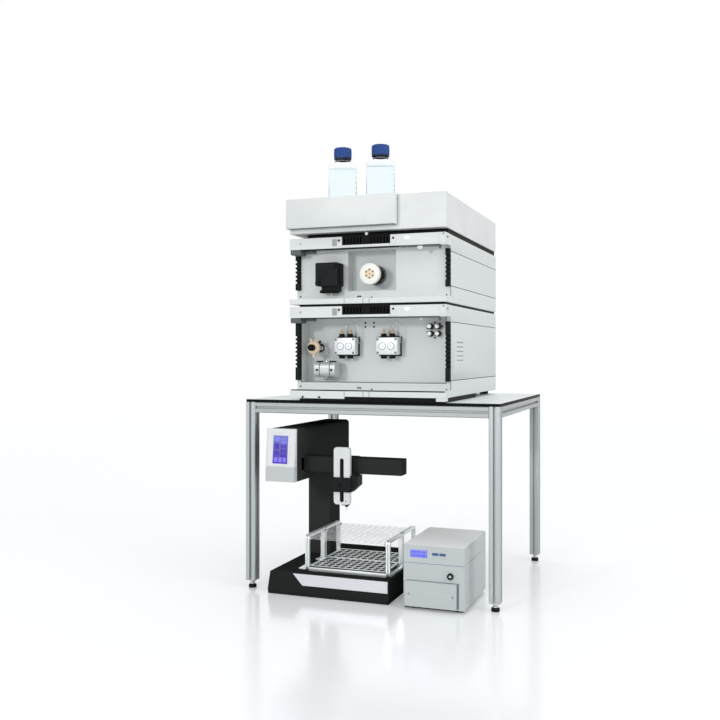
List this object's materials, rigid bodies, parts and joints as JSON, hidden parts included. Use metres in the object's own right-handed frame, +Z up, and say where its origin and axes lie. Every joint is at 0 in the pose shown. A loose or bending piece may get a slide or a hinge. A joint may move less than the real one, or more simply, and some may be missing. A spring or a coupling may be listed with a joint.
{
  "type": "fast protein liquid chromatography system",
  "caption": "Liquid chromatography tower of pump and valve modules with eluent tray on an aluminium bench, above a fraction collector with racks and a small detector.",
  "frame": {"origin": "floor level, in the middle of the footprint", "axes": "+Z up, +X to the right and +Y to the back as seen by someone facing the instrument"},
  "size_m": [0.588, 0.56, 1.0198],
  "materials": {
    "housing_paint": "satin light grey powder coat",
    "panel_paint": "satin cool grey sheet",
    "profile_aluminium": "clear anodised, satin",
    "bench_laminate": "pale top with a black core showing at the edge",
    "black_plastic": "fine grained moulding",
    "collector_black": "matt black coat",
    "head_steel": "fine ground stainless steel",
    "fitting_polymer": "beige polymer",
    "valve_white": "white polymer",
    "bottle_glass": "clear borosilicate glass",
    "eluent_liquid": "clear liquid with a faint blue cast",
    "cap_blue": "ribbed polypropylene",
    "tray_polymer": "light grey moulding",
    "console_white": "white moulding",
    "screen_glass": "lit screen behind a gloss film",
    "trim_silver": "bare silver trim",
    "rack_silver": "satin silver",
    "rack_clear": "clear polymer sheet with a light frost",
    "detector_paint": "grey powder coat",
    "display_blue": "lit blue display",
    "key_blue": "dark blue key caps",
    "rubber": "black rubber"
  },
  "bodies": {
    "stand": {"bench_top": "bench_laminate", "bench_legs": "profile_aluminium", "bench_rails": "profile_aluminium", "pump_housing": "housing_paint", "pump_panel": "panel_paint", "pump_head_left": "head_steel", "pump_head_right": "head_steel", "pump_back_plates": "black_plastic", "check_valves": "black_plastic", "pump_fittings": "fitting_polymer", "steel_capillaries": "head_steel", "purge_valve": "fitting_polymer", "mixing_chamber": "head_steel", "inlet_fittings": "head_steel", "valve_housing": "housing_paint", "valve_panel": "panel_paint", "valve_stator": "valve_white", "valve_neck": "black_plastic", "flow_cell": "black_plastic", "top_bars": "housing_paint", "vent_grilles": "black_plastic", "bottom_bars": "housing_paint", "tubing_guides": "black_plastic", "eluent_tray": "tray_polymer", "tray_front_plate": "tray_polymer", "bottle_left": "bottle_glass", "bottle_right": "bottle_glass", "eluent_fillings": "eluent_liquid", "collector_base": "collector_black", "collector_trim": "trim_silver", "collector_column": "collector_black", "collector_beam": "collector_black", "console": "console_white", "console_screen": "screen_glass", "rack_frames": "rack_silver", "rack_lower_plates": "rack_clear", "rack_upper_plates": "rack_clear", "detector_case": "detector_paint", "detector_lid": "detector_paint", "detector_display": "display_blue", "detector_door": "detector_paint", "detector_socket": "black_plastic", "module_feet": "rubber", "floor_feet": "rubber"},
    "foot_front_left": {"levelling_foot_front_left": "black_plastic"},
    "foot_front_right": {"levelling_foot_front_right": "black_plastic"},
    "foot_back_left": {"levelling_foot_back_left": "black_plastic"},
    "foot_back_right": {"levelling_foot_back_right": "black_plastic"},
    "purge_knob": {"purge_knob": "black_plastic"},
    "cell_screw_lower": {"cell_thumb_screw_lower": "black_plastic"},
    "cell_screw_upper": {"cell_thumb_screw_upper": "black_plastic"},
    "cap_left": {"bottle_cap_left": "cap_blue"},
    "cap_right": {"bottle_cap_right": "cap_blue"},
    "rotor": {"valve_rotor": "head_steel"},
    "key_left": {"detector_key_left": "key_blue"},
    "key_right": {"detector_key_right": "key_blue"},
    "arm": {"collector_arm": "collector_black"},
    "carriage": {"head_carriage": "black_plastic"},
    "head": {"head_plate": "console_white", "dispensing_nozzle": "black_plastic"}
  },
  "joints": [
    {"name": "foot_turn_front_left", "type": "hinge", "parent": "stand", "child": "foot_front_left", "pos_m": [-0.282, -0.226, 0], "axis": [0, 0, 1], "range_deg": [-180, 180]},
    {"name": "foot_turn_front_right", "type": "hinge", "parent": "stand", "child": "foot_front_right", "pos_m": [0.282, -0.226, 0], "axis": [0, 0, 1], "range_deg": [-180, 180]},
    {"name": "foot_turn_back_left", "type": "hinge", "parent": "stand", "child": "foot_back_left", "pos_m": [-0.282, 0.268, 0], "axis": [0, 0, 1], "range_deg": [-180, 180]},
    {"name": "foot_turn_back_right", "type": "hinge", "parent": "stand", "child": "foot_back_right", "pos_m": [0.282, 0.268, 0], "axis": [0, 0, 1], "range_deg": [-180, 180]},
    {"name": "purge_knob_turn", "type": "hinge", "parent": "stand", "child": "purge_knob", "pos_m": [-0.141, -0.206, 0.5498], "axis": [0, -1, 0], "range_deg": [0, 180]},
    {"name": "cell_screw_turn_lower", "type": "hinge", "parent": "stand", "child": "cell_screw_lower", "pos_m": [-0.1125, -0.241, 0.6925], "axis": [0, -1, 0], "range_deg": [0, 360]},
    {"name": "cell_screw_turn_upper", "type": "hinge", "parent": "stand", "child": "cell_screw_upper", "pos_m": [-0.0735, -0.241, 0.731], "axis": [0, -1, 0], "range_deg": [0, 360]},
    {"name": "cap_turn_left", "type": "hinge", "parent": "stand", "child": "cap_left", "pos_m": [-0.1075, -0.104, 1], "axis": [0, 0, 1], "range_deg": [0, 360]},
    {"name": "cap_turn_right", "type": "hinge", "parent": "stand", "child": "cap_right", "pos_m": [-0.0134, -0.104, 1], "axis": [0, 0, 1], "range_deg": [0, 360]},
    {"name": "rotor_turn", "type": "hinge", "parent": "stand", "child": "rotor", "pos_m": [0.002, -0.193, 0.7116], "axis": [0, -1, 0], "range_deg": [0, 60]},
    {"name": "key_press_left", "type": "slide", "parent": "stand", "child": "key_left", "axis": [0, 1, 0], "range_m": [0, 0.001], "stiffness_N_per_m": 800, "springref_m": -0.0003},
    {"name": "key_press_right", "type": "slide", "parent": "stand", "child": "key_right", "axis": [0, 1, 0], "range_m": [0, 0.001], "stiffness_N_per_m": 800, "springref_m": -0.0003},
    {"name": "arm_travel", "type": "slide", "parent": "stand", "child": "arm", "axis": [0, 1, 0], "range_m": [-0.015, 0.2]},
    {"name": "carriage_travel", "type": "slide", "parent": "arm", "child": "carriage", "axis": [1, 0, 0], "range_m": [-0.07, 0.105]},
    {"name": "head_travel", "type": "slide", "parent": "carriage", "child": "head", "axis": [0, 0, 1], "range_m": [-0.045, 0.03]}
  ]
}
